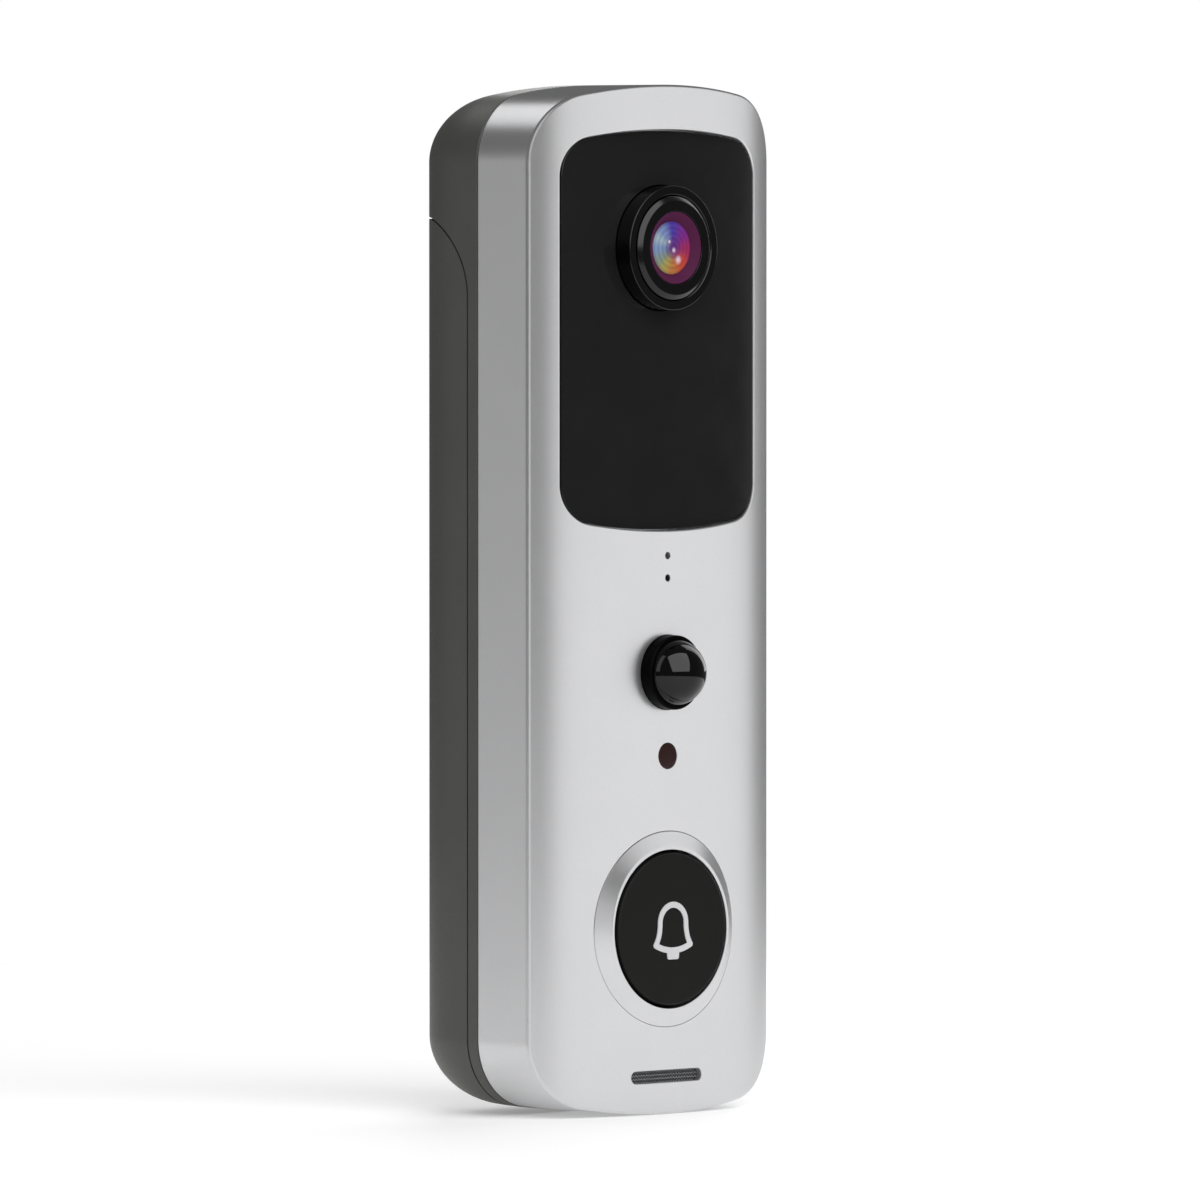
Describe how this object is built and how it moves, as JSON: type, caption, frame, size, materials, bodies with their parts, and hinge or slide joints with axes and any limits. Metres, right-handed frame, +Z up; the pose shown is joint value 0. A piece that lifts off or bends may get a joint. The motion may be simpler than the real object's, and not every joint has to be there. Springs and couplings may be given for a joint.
{
  "type": "video doorbell",
  "caption": "Battery video doorbell with a camera window, motion sensor dome, bell button and speaker slot, on a slide-off rear cover.",
  "frame": {"origin": "middle of the flat wall face on the back of the rear cover, at half the body's height", "axes": "+Z up along the body, +X to the right seen from the front, +Y into the wall; the front faces -Y"},
  "size_m": [0.0456, 0.0341, 0.138],
  "materials": {
    "silver_paint": "satin silver metallic paint over moulded plastic, fine grain",
    "dark_plastic": "dark grey moulded plastic, fine satin texture",
    "gloss_black": "polished black, infrared-passing acrylic",
    "button_black": "smooth satin black",
    "black_plastic": "satin black",
    "symbol_grey": "pale grey print",
    "red_brown_plastic": "dark red-brown translucent light window",
    "coated_glass": "polished, violet anti-reflection coating",
    "rubber_black": "matte",
    "woven_mesh": "fine dark woven dust mesh",
    "circuit_board": "green solder mask",
    "chip_black": "moulded black resin",
    "tinned_metal": "tin-plated",
    "screw_steel": "zinc-plated",
    "led_resin": "clear yellowish resin",
    "ribbon_orange": "flexible copper ribbon in amber film",
    "cone_paper": "pressed black paper",
    "cell_wrap": "blue heat-shrink wrap over a steel can"
  },
  "bodies": {
    "wall_cover": {"rear_cover": "dark_plastic", "lock_screw": "screw_steel"},
    "doorbell_body": {"rear_housing": "dark_plastic", "housing_seal": "rubber_black", "front_shell": "silver_paint", "window_panel": "gloss_black", "lens_ring": "black_plastic", "lens_glass": "coated_glass", "lens_barrel": "black_plastic", "rear_lens": "coated_glass", "camera_holder": "black_plastic", "image_sensor": "chip_black", "camera_board": "circuit_board", "light_sensor": "chip_black", "pir_lens": "gloss_black", "pir_sensor": "tinned_metal", "indicator_lens": "red_brown_plastic", "status_led": "led_resin", "charge_light_pipe": "black_plastic", "microphone_gasket": "rubber_black", "microphone": "tinned_metal", "button_bezel": "silver_paint", "button_switch": "chip_black", "speaker_mesh": "woven_mesh", "sound_duct": "rubber_black", "speaker_gasket": "rubber_black", "speaker_frame": "tinned_metal", "speaker_cone": "cone_paper", "speaker_magnet": "tinned_metal", "main_board": "circuit_board", "processor": "chip_black", "radio_shield": "tinned_metal", "wifi_antenna": "tinned_metal", "camera_ribbon": "ribbon_orange", "speaker_lead": "rubber_black", "service_board": "circuit_board", "usb_socket": "tinned_metal", "reset_switch": "chip_black", "ir_led_1": "led_resin", "ir_led_2": "led_resin", "ir_led_3": "led_resin", "ir_led_4": "led_resin", "case_screw_1": "screw_steel", "case_screw_2": "screw_steel", "case_screw_3": "screw_steel", "case_screw_4": "screw_steel", "case_screw_5": "screw_steel", "case_screw_6": "screw_steel", "battery_left": "cell_wrap", "battery_spring_left": "tinned_metal", "battery_contact_left": "tinned_metal", "battery_right": "cell_wrap", "battery_spring_right": "tinned_metal", "battery_contact_right": "tinned_metal"},
    "bell_button": {"button_cap": "button_black", "bell_symbol": "symbol_grey"},
    "switch_plunger": {"switch_plunger": "chip_black"},
    "reset_button": {"reset_button": "black_plastic"}
  },
  "joints": [
    {"name": "cover_slide", "type": "slide", "parent": "wall_cover", "child": "doorbell_body", "axis": [0, 0, 1], "range_m": [0, 0.12]},
    {"name": "bell_press", "type": "slide", "parent": "doorbell_body", "child": "bell_button", "axis": [0, 1, 0], "range_m": [0, 0.0005], "stiffness_N_per_m": 2500, "springref_m": -0.0003},
    {"name": "plunger_press", "type": "slide", "parent": "doorbell_body", "child": "switch_plunger", "axis": [0, 1, 0], "range_m": [0, 0.0005]},
    {"name": "reset_press", "type": "slide", "parent": "doorbell_body", "child": "reset_button", "axis": [0, -1, 0], "range_m": [0, 0.0004], "stiffness_N_per_m": 2500, "springref_m": -0.0003}
  ],
  "couplings": [
    {"joint": "plunger_press", "follows": "bell_press", "ratio": 1}
  ]
}
